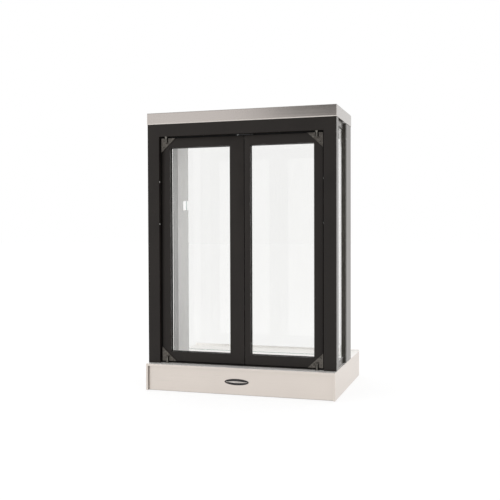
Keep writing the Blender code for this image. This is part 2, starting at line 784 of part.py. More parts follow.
def build_door(tag, side, inner_edge, meeting_stile):
    """One framed glass door with its two corner brackets."""
    outer = side * DOOR_OUTER
    frame_x = tuple(sorted((outer, inner_edge)))
    seen_x = sorted((outer - side * DOOR_STILE, inner_edge + side * meeting_stile))
    seen_z = (DOOR_BOTTOM + DOOR_RAIL, DOOR_TOP - DOOR_RAIL)
    frame = block(
        "door_frame_" + tag,
        frame_x,
        (DOOR_FACE, DOOR_BACK),
        (DOOR_BOTTOM, DOOR_TOP),
        lambda p: p.y < DOOR_FACE + 0.1,
        width=1.0,
    )
    cut(frame, block("door_opening_" + tag, tuple(seen_x), (0, 50), seen_z))
    wide_x = (seen_x[0] - REBATE, seen_x[1] + REBATE)
    wide_z = (seen_z[0] - REBATE, seen_z[1] + REBATE)
    cut(frame, block("door_rebate_" + tag, wide_x, (29, 50), wide_z))
    finish(frame, BLACK)

    pane = block("door_glass_" + tag, (wide_x[0] + 0.5, wide_x[1] - 0.5), (29.3, 29.3 + GLASS),
                 (wide_z[0] + 0.5, wide_z[1] - 0.5))
    finish(pane, CLEAR)
    bead = block("door_bead_" + tag, (wide_x[0] + GAP, wide_x[1] - GAP), (33.6, DOOR_BACK),
                 (wide_z[0] + GAP, wide_z[1] - GAP))
    cut(bead, block("door_bead_hole_" + tag, tuple(seen_x), (20, 50), seen_z))
    finish(bead, DARK)

    top = build_pivot(tag + "_top", side, DOOR_TOP, -1)
    bottom = build_pivot(tag + "_bottom", side, DOOR_BOTTOM, 1)
    parts = [frame, pane, bead, top, bottom]
    axis_empty("door_axis_" + tag, side * PIVOT_X, PIVOT_Y, DOOR_BOTTOM, parts)


def build_rear_door():
    pane_y = (REAR_PANE_FRONT, REAR_PANE_FRONT + REAR_PANE_THICK)
    free_edge = -(HALF_WIDTH - REAR_STILE_LEFT) - 10
    pane = block("rear_door_glass", (free_edge, 285), pane_y, (8, 731),
                 lambda p: True, width=0.6, segments=1)
    finish(pane, CLEAR)
    parts = [pane]
    at = (REAR_PIVOT_X, REAR_PIVOT_Y)
    for tag, low, high in (("bottom", 12.0, 42.0), ("top", 697.0, 727.0)):
        name = "rear_clamp_" + tag
        clamp = block(name, (271, REAR_PIVOT_X),
                      (REAR_PIVOT_Y - REAR_CLAMP_R, REAR_PIVOT_Y + REAR_CLAMP_R), (low, high))
        fuse(clamp, rod(name + "_nose", at, "z", (low, high), REAR_CLAMP_R))
        cut(clamp, block(name + "_slot", (260, 285.3), (pane_y[0] - GAP, pane_y[1] + GAP),
                         (low - 5, high + 5)))
        bore = (low - 5, low + 12) if tag == "bottom" else (high - 12, high + 5)
        cut(clamp, rod(name + "_bore", at, "z", bore, 2.5))
        smooth(finish(clamp, ALLOY), 30)
        parts.append(clamp)
    axis_empty("rear_door_axis", REAR_PIVOT_X, REAR_PIVOT_Y, 8, parts)

    foot = block("rear_pivot_bottom", (281, 301), (249.5, 262), (GAP, 3.3))
    fuse(foot, rod("rear_pivot_bottom_collar", at, "z", (2, 11.7), 5.0))
    fuse(foot, rod("rear_pivot_bottom_pin", at, "z", (2, 22), 2.4))
    smooth(finish(foot, ALLOY), 30)

    arm = block("rear_pivot_top", (281, 301), (249.3, 262), (731.5, 733.5))
    fuse(arm, block("rear_pivot_top_plate", (281, 301), (249.3, 251.3), (732, 757)))
    fuse(arm, rod("rear_pivot_top_collar", at, "z", (727.3, 733), 5.0))
    fuse(arm, rod("rear_pivot_top_pin", at, "z", (717, 733), 2.4))
    smooth(finish(arm, ALLOY), 30)


def build_catch():
    catch = block(
        "door_catch",
        (SEAM - 28, SEAM + 28),
        (15, 30),
        (716.8, HEAD_UNDERSIDE - GAP),
        lambda p: p.z < 717 and p.y < 16,
        width=0.8,
    )
    finish(catch, DARK)


# ------------------------------------------------------------------ assembly
for old in list(bpy.data.objects):
    bpy.data.objects.remove(old, do_unlink=True)

bpy.context.scene.unit_settings.system = "METRIC"
bpy.context.scene.unit_settings.scale_length = 1.0

build_base()
build_heater()
build_blower()
build_controls()
build_cap()
build_face_frame()
build_side("side_panel_left", -1, REAR_STILE_LEFT)
build_side("side_panel_right", 1, REAR_STILE_RIGHT)
build_inside()
build_door("left", -1, SEAM - SEAM_GAP / 2, LEFT_MEETING_STILE)
build_door("right", 1, SEAM + SEAM_GAP / 2, RIGHT_MEETING_STILE)
build_rear_door()
build_catch()
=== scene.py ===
"""Looks of the food holding cabinet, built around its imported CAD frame.

Distances are in cabinet millimetres: x from the middle, y from the front plane
of the upper body and z from the top of the deck.  at() turns them into metres in
the shared frame.  Each CAD part gets a piece in its place, most with softened
edges, and the small hardware is modelled on top of it.
"""

import json
import math

import bmesh
import bpy
from mathutils import Matrix, Vector


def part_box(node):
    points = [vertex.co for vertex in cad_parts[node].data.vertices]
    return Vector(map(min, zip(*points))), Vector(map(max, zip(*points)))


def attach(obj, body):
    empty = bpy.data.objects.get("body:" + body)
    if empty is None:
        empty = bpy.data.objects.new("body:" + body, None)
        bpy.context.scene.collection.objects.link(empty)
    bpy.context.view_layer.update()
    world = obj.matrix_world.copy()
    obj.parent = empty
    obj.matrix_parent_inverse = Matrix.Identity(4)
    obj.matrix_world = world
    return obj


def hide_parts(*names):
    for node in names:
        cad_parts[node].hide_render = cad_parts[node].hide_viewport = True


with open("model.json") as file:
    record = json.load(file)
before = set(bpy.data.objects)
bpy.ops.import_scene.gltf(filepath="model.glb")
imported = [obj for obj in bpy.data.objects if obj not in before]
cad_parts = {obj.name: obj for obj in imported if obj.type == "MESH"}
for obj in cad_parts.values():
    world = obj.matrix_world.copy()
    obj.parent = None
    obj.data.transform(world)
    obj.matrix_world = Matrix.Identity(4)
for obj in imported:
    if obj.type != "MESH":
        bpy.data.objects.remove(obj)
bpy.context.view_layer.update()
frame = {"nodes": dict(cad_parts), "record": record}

MM = 0.001
NODES = frame["nodes"]
RECORD = frame["record"]
BODY_OF = {node: body for body, members in RECORD["behaviour"]["bodies"].items() for node in members}
SLOT_OF = {part["node"]: part["material_slot"] for part in RECORD["subparts"]}

FRAME_LOW, FRAME_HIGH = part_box("face_frame")
DECK_GAP = 0.3
ORIGIN = Vector(((FRAME_LOW.x + FRAME_HIGH.x) / 2, FRAME_LOW.y, FRAME_LOW.z - DECK_GAP * MM))

# Faces of the cabinet that the hardware sits on, in cabinet millimetres.
JAMB_X = 266.0
SILL_Z = 3.3
HEAD_Z = 721.0
RECESS_FACE_X = 298.0
POST_FACE_X = 305.0
POST_FRONT_Y = 155.0
POST_TOP_Z = 759.4
INNER_WALL_X = 303.5
RETAINER_FACE_X = 284.4
BRACKET_FACE_Y = 10.65
CATCH_FACE_Y = 15.0
GRILLE_TOP_Z = 1.8
FACING_IN = {-1: "+x", 1: "-x"}
FACING_OUT = {-1: "-x", 1: "+x"}


def at(x, y, z):
    """Cabinet millimetres to shared metres."""
    return ORIGIN + Vector((x, y, z)) * MM


def extent(node):
    """Lowest and highest corner of a CAD part in cabinet millimetres."""
    low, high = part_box(node)
    return (low - ORIGIN) / MM, (high - ORIGIN) / MM


# ------------------------------------------------------------------ materials
ALONG_GRAIN, ACROSS_GRAIN = 3.0, 1500.0
# Tint of the painted light that the glowing steel looks give off.
PAINTED_LIGHT_TINT = (1.0, 0.99, 0.97, 1.0)


class Look:
    """A procedural material under construction."""

    def __init__(self, name, colour, metallic=0.0, roughness=0.5):
        self.material = bpy.data.materials.new(name)
        self.material.use_nodes = True
        self.tree = self.material.node_tree
        self.shader = self.tree.nodes["Principled BSDF"]
        self.shader.inputs["Base Color"].default_value = (*colour, 1.0)
        self.shader.inputs["Metallic"].default_value = metallic
        self.shader.inputs["Roughness"].default_value = roughness
        self.where = self.node("ShaderNodeTexCoord")

    def node(self, kind, **settings):
        """Adds a shader node with the given properties."""
        made = self.tree.nodes.new(kind)
        for key, value in settings.items():
            setattr(made, key, value)
        return made

    def link(self, source, target):
        self.tree.links.new(source, target)

    def set(self, **sockets):
        """Sets constant values on the shader's own sockets."""
        for key, value in sockets.items():
            socket = key.replace("_", " ").title().replace("Ior", "IOR")
            self.shader.inputs[socket].default_value = value

    def stretched(self, scale):
        """Object coordinates with a different scale on each axis."""
        mapping = self.node("ShaderNodeMapping")
        mapping.inputs["Scale"].default_value = scale
        self.link(self.where.outputs["Object"], mapping.inputs["Vector"])
        return mapping.outputs["Vector"]

    def noise(self, vector, scale, detail=2.0, roughness=0.5):
        """Fractal noise as a value between 0 and 1."""
        made = self.node("ShaderNodeTexNoise")
        made.inputs["Scale"].default_value = scale
        made.inputs["Detail"].default_value = detail
        made.inputs["Roughness"].default_value = roughness
        self.link(vector, made.inputs["Vector"])
        return made.outputs["Fac"]

    def spread(self, value, low, high, start=0.3, end=0.7):
        """Maps a texture value onto a range."""
        made = self.node("ShaderNodeMapRange")
        made.inputs["From Min"].default_value = start
        made.inputs["From Max"].default_value = end
        made.inputs["To Min"].default_value = low
        made.inputs["To Max"].default_value = high
        self.link(value, made.inputs["Value"])
        return made.outputs["Result"]

    def ramp(self, value, stops):
        """Colours a texture value by (position, colour) stops."""
        made = self.node("ShaderNodeValToRGB")
        elements = made.color_ramp.elements
        while len(elements) < len(stops):
            elements.new(0.5)
        for element, (position, colour) in zip(elements, stops):
            element.position = position
            element.color = (*colour, 1.0)
        self.link(value, made.inputs["Fac"])
        return made.outputs["Color"]

    def math(self, operation, first, second):
        """Joins two numbers or outputs with a math node."""
        made = self.node("ShaderNodeMath", operation=operation)
        for socket, value in zip(made.inputs, (first, second)):
            if isinstance(value, (int, float)):
                socket.default_value = value
            else:
                self.link(value, socket)
        return made.outputs["Value"]

    def colour(self, output):
        self.link(output, self.shader.inputs["Base Color"])

    def rough(self, output):
        self.link(output, self.shader.inputs["Roughness"])

    def bump(self, height, strength, distance):
        """Fine relief from a texture value; distance is in metres."""
        made = self.node("ShaderNodeBump")
        made.inputs["Strength"].default_value = strength
        made.inputs["Distance"].default_value = distance
        self.link(height, made.inputs["Height"])
        self.link(made.outputs["Normal"], self.shader.inputs["Normal"])

    def grain(self, upright):
        """Coordinates that draw brushing lines along a sheet.

        The lines run level on every face of a level sheet, and up the faces of an
        upright one.
        """
        if upright:
            return self.stretched((ACROSS_GRAIN, ACROSS_GRAIN, ALONG_GRAIN))
        long_x = self.stretched((ALONG_GRAIN, ACROSS_GRAIN, ACROSS_GRAIN))
        long_y = self.stretched((0.0, ALONG_GRAIN, ACROSS_GRAIN))
        parts = self.node("ShaderNodeSeparateXYZ")
        self.link(self.where.outputs["Normal"], parts.inputs["Vector"])
        sideways = self.math("GREATER_THAN", self.math("ABSOLUTE", parts.outputs["X"], 0.0), 0.7)
        choice = self.node("ShaderNodeMix", data_type="VECTOR")
        self.link(sideways, choice.inputs["Factor"])
        self.link(long_x, choice.inputs[4])
        self.link(long_y, choice.inputs[5])
        return choice.outputs[1]


def shade(colour, amount):
    """Darkens a colour."""
    return tuple(part * amount for part in colour)


def steel(name, bright, low, high, upright=False, contrast=0.94, metallic=1.0, glow=0.0):
    """Brushed stainless sheet: fine lines, faint smears and slow shifts of tone.

    glow is painted light: a weak emission that lifts the sheet to the tone of
    the bright faces inside.
    """
    look = Look(name, bright, metallic, (low + high) / 2)
    lines = look.noise(look.grain(upright), 1.0, 3.0, 0.6)
    smears = look.noise(look.stretched((5.0, 5.0, 5.0)), 1.0, 3.0, 0.55)
    tone = look.math("ADD", look.math("MULTIPLY", lines, 0.40), look.math("MULTIPLY", smears, 0.60))
    look.colour(look.ramp(tone, ((0.36, shade(bright, contrast)), (0.64, bright))))
    wear = look.math("ADD", look.math("MULTIPLY", lines, 0.7), look.math("MULTIPLY", smears, 0.3))
    look.rough(look.spread(wear, low, high))
    look.bump(lines, 0.06, 0.0001)
    # Painted light: an emission on a sheet that is no lamp.
    if glow:
        look.set(emission_color=PAINTED_LIGHT_TINT, emission_strength=glow)
    return look.material


def coated(name, deep, raised, low, high, specular):
    """Fine textured powder coat."""
    look = Look(name, deep, 0.0, (low + high) / 2)
    peel = look.noise(look.where.outputs["Object"], 620.0, 2.0, 0.5)
    cloud = look.noise(look.where.outputs["Object"], 9.0, 4.0, 0.6)
    look.colour(look.ramp(cloud, ((0.32, deep), (0.70, raised))))
    look.rough(look.spread(cloud, low, high))
    look.bump(peel, 0.18, 0.00018)
    look.set(specular_ior_level=specular)
    return look.material


def moulded(name, dark, light, low, high, grain=900.0, specular=0.4):
    """Moulded plastic or rubber with a fine grain and a faint bloom."""
    look = Look(name, dark, 0.0, (low + high) / 2)
    fine = look.noise(look.where.outputs["Object"], grain, 2.0, 0.6)
    bloom = look.noise(look.where.outputs["Object"], 26.0, 4.0, 0.6)
    look.colour(look.ramp(bloom, ((0.35, dark), (0.72, light))))
    look.rough(look.spread(bloom, low, high))
    look.bump(fine, 0.16, 0.00012)
    look.set(specular_ior_level=specular)
    return look.material


def plated(name, dull, bright, low, high):
    """Zinc plate: soft spangle and a cloudy passivated film."""
    look = Look(name, bright, 0.85, (low + high) / 2)
    cells = look.node("ShaderNodeTexVoronoi")
    cells.inputs["Scale"].default_value = 260.0
    look.link(look.where.outputs["Object"], cells.inputs["Vector"])
    film = look.noise(look.where.outputs["Object"], 40.0, 4.0, 0.6)
    tone = look.math("ADD", look.math("MULTIPLY", cells.outputs["Distance"], 0.5),
                     look.math("MULTIPLY", film, 0.7))
    look.colour(look.ramp(tone, ((0.30, dull), (0.75, bright))))
    look.rough(look.spread(film, low, high))
    look.bump(look.noise(look.where.outputs["Object"], 700.0, 2.0), 0.10, 0.0001)
    return look.material


def turned(name, dull, bright, low, high):
    """Turned or die-cast bright metal with fine tool marks."""
    look = Look(name, bright, 1.0, (low + high) / 2)
    marks = look.noise(look.stretched((500.0, 500.0, 2600.0)), 1.0, 2.0)
    haze = look.noise(look.where.outputs["Object"], 60.0, 3.0, 0.6)
    look.colour(look.ramp(haze, ((0.35, dull), (0.70, bright))))
    look.rough(look.spread(marks, low, high))
    look.bump(marks, 0.12, 0.00006)
    return look.material


def glazing(name, tint, dirt, gloss, index=1.5):
    """Clear toughened glass with a breath of dust and wipe marks.

    A pane reflects on the way in only, so that its two faces don't reflect twice.
    """
    look = Look(name, tint, 0.0, gloss)
    out = look.tree.nodes["Material Output"]
    clear = look.node("ShaderNodeBsdfTransparent")
    clear.inputs["Color"].default_value = (*tint, 1.0)
    wipes = look.noise(look.stretched((9.0, 9.0, 4.0)), 1.0, 5.0, 0.65)
    streaks = look.noise(look.stretched((60.0, 60.0, 5.0)), 1.0, 3.0, 0.6)
    film = look.math("MULTIPLY", look.spread(wipes, 0.0, 1.0, 0.45, 0.75), streaks)
    haze = look.node("ShaderNodeBsdfDiffuse")
    haze.inputs["Color"].default_value = (0.82, 0.82, 0.80, 1.0)
    veiled = look.node("ShaderNodeMixShader")
    look.link(look.math("MULTIPLY", film, dirt), veiled.inputs["Fac"])
    look.link(clear.outputs["BSDF"], veiled.inputs[1])
    look.link(haze.outputs["BSDF"], veiled.inputs[2])
    mirror = look.node("ShaderNodeBsdfGlossy")
    mirror.inputs["Color"].default_value = (1.0, 1.0, 1.0, 1.0)
    look.link(look.spread(wipes, gloss, gloss + 0.05), mirror.inputs["Roughness"])
    facing = look.node("ShaderNodeFresnel")
    facing.inputs["IOR"].default_value = index
    leaving = look.node("ShaderNodeNewGeometry").outputs["Backfacing"]
    entering = look.math("SUBTRACT", 1.0, leaving)
    both = look.node("ShaderNodeMixShader")
    look.link(look.math("MULTIPLY", facing.outputs["Fac"], entering), both.inputs["Fac"])
    look.link(veiled.outputs["Shader"], both.inputs[1])
    look.link(mirror.outputs["BSDF"], both.inputs[2])
    look.link(both.outputs["Shader"], out.inputs["Surface"])
    look.tree.nodes.remove(look.shader)
    return look.material


def glass_edge(name):
    """The pale green ground edge of a pane."""
    look = Look(name, (0.40, 0.56, 0.50), 0.0, 0.22)
    bands = look.noise(look.stretched((60.0, 60.0, 22.0)), 1.0, 3.0)
    look.colour(look.ramp(bands, ((0.35, (0.38, 0.54, 0.49)), (0.70, (0.48, 0.65, 0.59)))))
    look.rough(look.spread(bands, 0.18, 0.30))
    look.set(transmission_weight=0.35, ior=1.5)
    return look.material


def lens(name, dark, light, transmission, low=0.10, high=0.24, glow=0.0):
    """Coloured translucent plastic or glass."""
    look = Look(name, light, 0.0, low)
    depth = look.noise(look.where.outputs["Object"], 320.0, 3.0)
    look.colour(look.ramp(depth, ((0.35, dark), (0.70, light))))
    look.rough(look.spread(depth, low, high))
    look.bump(depth, 0.10, 0.0001)
    look.set(transmission_weight=transmission, emission_color=(*light, 1.0), emission_strength=glow)
    return look.material


# steel: brightest colour, then lowest and highest roughness.  coated, moulded,
# plated, turned and lens: darker and lighter colour, then the same two.  glazing:
# tint, dirt and gloss; the side panes mirror far less than real glass.
LOOKS = {
    "stainless": steel("stainless_base", (0.725, 0.66, 0.605), 0.26, 0.36, metallic=0.8),
    # Deck and rim steel are lighter, glowing copies of the base steel for the deck's top and upstand:
    # painted light.
    "deck_painted_light": steel("stainless_deck_painted_light", (0.89, 0.87, 0.845), 0.30, 0.40, metallic=0.6, glow=0.06),
    "cap_steel": steel("stainless_cap", (0.56, 0.515, 0.485), 0.12, 0.20),
    # Cap side and bend are darker copies of the cap steel, painted shade; the hem a lighter one, a
    # painted highlight.
    "cap_side_shade": steel("stainless_cap_side", (0.43, 0.40, 0.375), 0.14, 0.22),
    "cap_bend_shade": steel("stainless_cap_bend_shade", (0.30, 0.27, 0.25), 0.20, 0.30),
    "cap_hem_highlight": steel("stainless_cap_hem", (0.62, 0.575, 0.54), 0.40, 0.50, metallic=0.3),
    "outer_steel": steel("stainless_post", (0.198, 0.186, 0.173), 0.26, 0.38, True),
    "inner_steel": steel("stainless_inside", (0.525, 0.524, 0.523), 0.30, 0.42, True, metallic=0.45),
    # Stile steel is a lighter, glowing copy of the inside steel for faces that look forward: painted
    # light.
    "stile_painted_light": steel("stainless_stile_painted_light", (0.94, 0.935, 0.925), 0.36, 0.48, True, metallic=0.2,
                         glow=0.18),
    # The retainers' steel is a still brighter glowing copy of the inside steel: painted light.
    "retainer_painted_light": steel("stainless_retainer_painted_light", (0.95, 0.945, 0.93), 0.30, 0.42, True, metallic=0.2,
                       glow=0.52),
    "rim_painted_light": steel("stainless_rim_painted_light", (0.90, 0.88, 0.855), 0.34, 0.46, metallic=0.4, glow=0.25),
    "black_paint": coated("black_powder_coat", (0.0108, 0.0084, 0.0070), (0.0163, 0.0131, 0.0110),
                          0.42, 0.58, 0.26),
    "black_rubber": moulded("black_rubber", (0.007, 0.007, 0.007), (0.014, 0.014, 0.014), 0.66, 0.84,
                            500.0, 0.2),
    "zinc_plate": plated("zinc_plate", (0.050, 0.044, 0.038), (0.135, 0.123, 0.110), 0.30, 0.48),
    "bright_metal": turned("bright_metal", (0.52, 0.51, 0.50), (0.78, 0.77, 0.75), 0.14, 0.30),
    "badge_metal": turned("badge_metal", (0.48, 0.45, 0.42), (0.64, 0.60, 0.57), 0.20, 0.36),
    "dull_pin": turned("dull_pin", (0.10, 0.094, 0.084), (0.20, 0.19, 0.17), 0.24, 0.40),
    # Dark trim serves the window seals and the painted shade strips on the posts.
    "dark_seal_and_shade": moulded("dark_seal_and_shade", (0.040, 0.036, 0.030), (0.060, 0.055, 0.047), 0.44, 0.60),
    # Grey trim paints the shade round the base's front panel.
    "grey_shade_trim": moulded("grey_shade_trim", (0.27, 0.245, 0.22), (0.34, 0.31, 0.28), 0.48, 0.64),
    "aluminium": steel("mill_aluminium", (0.70, 0.70, 0.71), 0.28, 0.44, True),
    "grey_anodised": steel("grey_anodised", (0.20, 0.20, 0.205), 0.34, 0.48, True),
    "dark_steel": plated("heat_darkened_steel", (0.028, 0.026, 0.028), (0.085, 0.075, 0.070),
                         0.35, 0.60),
    "black_plastic": moulded("black_plastic", (0.012, 0.012, 0.0125), (0.026, 0.026, 0.027), 0.34, 0.52),
    "black_gloss": moulded("black_gloss", (0.008, 0.007, 0.0065), (0.015, 0.014, 0.013), 0.12, 0.26,
                           300.0, 0.45),
    "red_lens": lens("red_lens", (0.30, 0.012, 0.008), (0.62, 0.035, 0.02), 0.35),
    "white_plastic": moulded("white_plastic", (0.70, 0.70, 0.66), (0.84, 0.84, 0.81), 0.34, 0.50),
    "lamp_glass": lens("lamp_glass", (0.80, 0.80, 0.77), (0.93, 0.93, 0.90), 0.15, 0.12, 0.22),
    "lamp_diffuser": lens("lamp_diffuser", (0.78, 0.77, 0.74), (0.90, 0.89, 0.86), 0.10, 0.30, 0.45,
                          3.0),
    "clear_glass": glazing("clear_glass", (0.977, 0.977, 0.974), 0.026, 0.012),
    "side_glass": glazing("coated_glass", (0.996, 0.996, 0.995), 0.012, 0.012, 1.08),
    "glass_edge": glass_edge("glass_edge"),
    "black_mark": moulded("black_marking", (0.010, 0.010, 0.011), (0.020, 0.020, 0.021), 0.45, 0.60),
}


# ------------------------------------------------------------- mesh building
WELD = 0.004
FLAT_ANGLE = 0.6


def to_mesh(name, bm):
    """Turns a finished bmesh into a mesh with outward normals."""
    bmesh.ops.recalc_face_normals(bm, faces=bm.faces)
    mesh = bpy.data.meshes.new(name)
    bm.to_mesh(mesh)
    bm.free()
    return mesh


def add_object(name, data):
    """Adds an object to the scene."""
    made = bpy.data.objects.new(name, data)
    bpy.context.scene.collection.objects.link(made)
    return made


def show(name, mesh, body, slot, look=None, smooth=None):
    """Adds a finished mesh to the scene and ties it to its CAD body."""
    piece = add_object(name, mesh)
    if not mesh.materials:
        mesh.materials.append(LOOKS[look or slot])
    if smooth is not None:
        mesh.shade_smooth()
        mesh.set_sharp_from_angle(angle=math.radians(smooth))
    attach(piece, body)
    return piece


def soften(piece, width, angle=28.0):
    """Rounds the edges of a piece."""
    bevel = piece.modifiers.new("soft_edges", "BEVEL")
    bevel.width = width * MM
    bevel.segments = 2
    bevel.limit_method = "ANGLE"
    bevel.angle_limit = math.radians(angle)
    bevel.harden_normals = True
    bevel.use_clamp_overlap = True
    return piece


def slab(bm, low, high):
    """Adds a rectangular block between two corners in cabinet millimetres."""
    first, second = at(*low), at(*high)
    made = bmesh.ops.create_cube(bm, size=1.0)["verts"]
    size = Vector(abs(b - a) for a, b in zip(first, second))
    bmesh.ops.scale(bm, vec=size, verts=made)
    bmesh.ops.translate(bm, vec=(first + second) / 2, verts=made)


def blocks(name, boxes, body, slot, look=None, width=0.3):
    """Piece made of softened blocks."""
    bm = bmesh.new()
    for low, high in boxes:
        slab(bm, low, high)
    return soften(show(name, to_mesh(name, bm), body, slot, look, smooth=28), width)


def loft(bm, rings, wrap=False, caps=True):
    """Joins rings of vertices with faces.

    wrap also joins the last ring to the first; caps closes the two end rings.
    """
    pairs = list(zip(rings, rings[1:]))
    if wrap:
        pairs.append((rings[-1], rings[0]))
    for first, second in pairs:
        for index in range(len(first)):
            after = (index + 1) % len(first)
            bm.faces.new((first[index], first[after], second[after], second[index]))
    if caps:
        bm.faces.new(rings[0])
        bm.faces.new(rings[-1])


def point_on(axis, along, first, second):
    """Cabinet point from its distance along an axis and its other two coordinates."""
    values = [first, second]
    values.insert("xyz".index(axis), along)
    return at(*values)


def rounded_path(low, high, radius, steps):
    """Corners of a rectangle as (centre, outward direction) pairs, with rounding."""
    path = []
    for turn, (sx, sy) in enumerate(((1, 1), (-1, 1), (-1, -1), (1, -1))):
        corner = Vector((high[0] if sx > 0 else low[0], high[1] if sy > 0 else low[1]))
        if not steps:
            path.append((corner, Vector((sx, sy))))
            continue
        centre = corner - Vector((sx, sy)) * radius
        for step in range(steps + 1):
            angle = math.pi / 2 * (turn + step / steps)
            path.append((centre, Vector((math.cos(angle), math.sin(angle)))))
    return path


def sweep(bm, axis, low, high, profile, radius=0.0, steps=0, closed=True):
    """Sweeps a profile of (inset, along) points round a rectangle across an axis."""
    path = rounded_path(low, high, radius, steps)
    rings = []
    for inset, along in profile:
        ring = []
        for centre, direction in path:
            where = centre + direction * (radius - inset)
            ring.append(bm.verts.new(point_on(axis, along, where.x, where.y)))
        rings.append(ring)
    loft(bm, rings, wrap=closed, caps=not closed)


def lathe(bm, axis, centre, profile, segments=32, stretch=(1.0, 1.0)):
    """Turns a profile of (radius, along) points about an axis.

    stretch scales the two cross directions, which makes an oval.
    """
    rings = []
    for radius, along in profile:
        ring = []
        for index in range(segments):
            angle = 2 * math.pi * index / segments
            first = centre[0] + radius * stretch[0] * math.cos(angle)
            second = centre[1] + radius * stretch[1] * math.sin(angle)
            ring.append(bm.verts.new(point_on(axis, along, first, second)))
        rings.append(ring)
    loft(bm, rings)


def stand_in(node, width=0.35, look=None, angle=28.0, inside=None, deck=None, front="stile_painted_light"):
    """Edge-softened piece that stands for a CAD part.

    With inside, faces that look outward along x keep the piece's own look, faces
    that look forward take the front look, a lighter copy with painted light, and
    all others the inside look.  With deck, level faces on top take the deck look,
    and the upstand behind them the rim's: both lighter copies with painted light.
    """
    bm = bmesh.new()
    bm.from_mesh(NODES[node].data)
    bmesh.ops.remove_doubles(bm, verts=bm.verts, dist=WELD * MM)
    bmesh.ops.dissolve_limit(bm, angle_limit=math.radians(FLAT_ANGLE), verts=bm.verts, edges=bm.edges)
    piece = show(node + "_finished", to_mesh(node, bm), BODY_OF[node], SLOT_OF[node], look, smooth=angle)
    if inside:
        piece.data.materials.append(LOOKS[inside])
        piece.data.materials.append(LOOKS[front])
        # Forward faces get the front look, a lighter glowing copy of the steel: painted light.
        for face in piece.data.polygons:
            outward = face.normal.x * (1 if face.center.x > 0 else -1)
            face.material_index = 0 if outward > 0.5 else 2 if face.normal.y < -0.5 else 1
    if deck:
        # Level tops take the deck look and the upstand the rim's, lighter glowing copies of the steel:
        # painted light.
        piece.data.materials.append(LOOKS[deck])
        piece.data.materials.append(LOOKS["rim_painted_light"])
        for face in piece.data.polygons:
            upstand = face.center.z > at(0, 0, 0).z and face.normal.y < -0.5
            face.material_index = 2 if upstand else 1 if face.normal.z > 0.5 else 0
    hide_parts(node)
    return soften(piece, width, angle)


def pane(node):
    """Glass pane; the frameless one shows its ground green edge."""
    look = "side_glass" if node.startswith("side") else "clear_glass"
    piece = stand_in(node, 0.5, look)
    if node != "rear_door_glass":
        return piece
    mesh = piece.data
    mesh.materials.append(LOOKS["glass_edge"])
    low, high = extent(node)
    size = high - low
    thin = min(range(3), key=lambda axis: size[axis])
    for face in mesh.polygons:
        face.material_index = 0 if abs(face.normal[thin]) > 0.9 else 1
    piece.modifiers["soft_edges"].material = 1
    return piece


# --------------------------------------------------------------------- screws
SCREW_PROFILE = [(1.0, 0.0), (1.0, 0.16), (0.93, 0.34), (0.74, 0.50), (0.45, 0.58), (0.18, 0.60)]
SCREW_SIDES = 24


def screw_head():
    """Pan head with a cross recess, one unit in radius, standing on z = 0."""
    bm = bmesh.new()
    turns = [2 * math.pi * index / SCREW_SIDES for index in range(SCREW_SIDES)]
    rings = []
    for radius, height in SCREW_PROFILE:
        rings.append([bm.verts.new((radius * math.cos(turn), radius * math.sin(turn), height))
                      for turn in turns])
    loft(bm, rings)
    head = add_object("screw_head", to_mesh("screw_head", bm))

    bm = bmesh.new()
    arm, half, floor, top, taper = 0.52, 0.115, 0.26, 0.9, 0.62
    cross = [(arm, -half), (arm, half), (half, half), (half, arm), (-half, arm), (-half, half),
             (-arm, half), (-arm, -half), (-half, -half), (-half, -arm), (half, -arm), (half, -half)]
    lower = [bm.verts.new((x * taper, y * taper if abs(y) > half else y, floor)) for x, y in cross]
    upper = [bm.verts.new((x, y, top)) for x, y in cross]
    loft(bm, [lower, upper])
    tool = add_object("screw_cross", to_mesh("screw_cross", bm))

    recess = head.modifiers.new("recess", "BOOLEAN")
    recess.operation = "DIFFERENCE"
    recess.solver = "EXACT"
    recess.object = tool
    evaluated = head.evaluated_get(bpy.context.evaluated_depsgraph_get())
    mesh = bpy.data.meshes.new_from_object(evaluated)
    bpy.data.objects.remove(head)
    bpy.data.objects.remove(tool)
    return mesh


SCREW = screw_head()
FACING = {"+x": (1, 0, 0), "-x": (-1, 0, 0), "+y": (0, 1, 0), "-y": (0, -1, 0), "+z": (0, 0, 1)}
FIRST_TWIST, NEXT_TWIST = 17, 38


def screws(name, body, places, look="bright_metal"):
    """Cross-head screws: each place is (x, y, z, facing, head radius)."""
    bm = bmesh.new()
    for index, (x, y, z, facing, radius) in enumerate(places):
        before = set(bm.verts)
        bm.from_mesh(SCREW)
        made = [vert for vert in bm.verts if vert not in before]
        turn = Vector(FACING[facing]).to_track_quat("Z", "Y").to_matrix().to_4x4()
        twist = Matrix.Rotation(math.radians(FIRST_TWIST + NEXT_TWIST * index), 4, "Z")
        size = Matrix.Scale(radius * MM, 4)
        place = Matrix.Translation(at(x, y, z)) @ turn @ twist @ size
        bmesh.ops.transform(bm, matrix=place, verts=made)
    return show(name, to_mesh(name, bm), body, "bright_metal", look, smooth=32)


# ------------------------------------------------------------------ CAD parts
FEET = ["foot_front_left", "foot_front_right", "foot_rear_left", "foot_rear_right"]
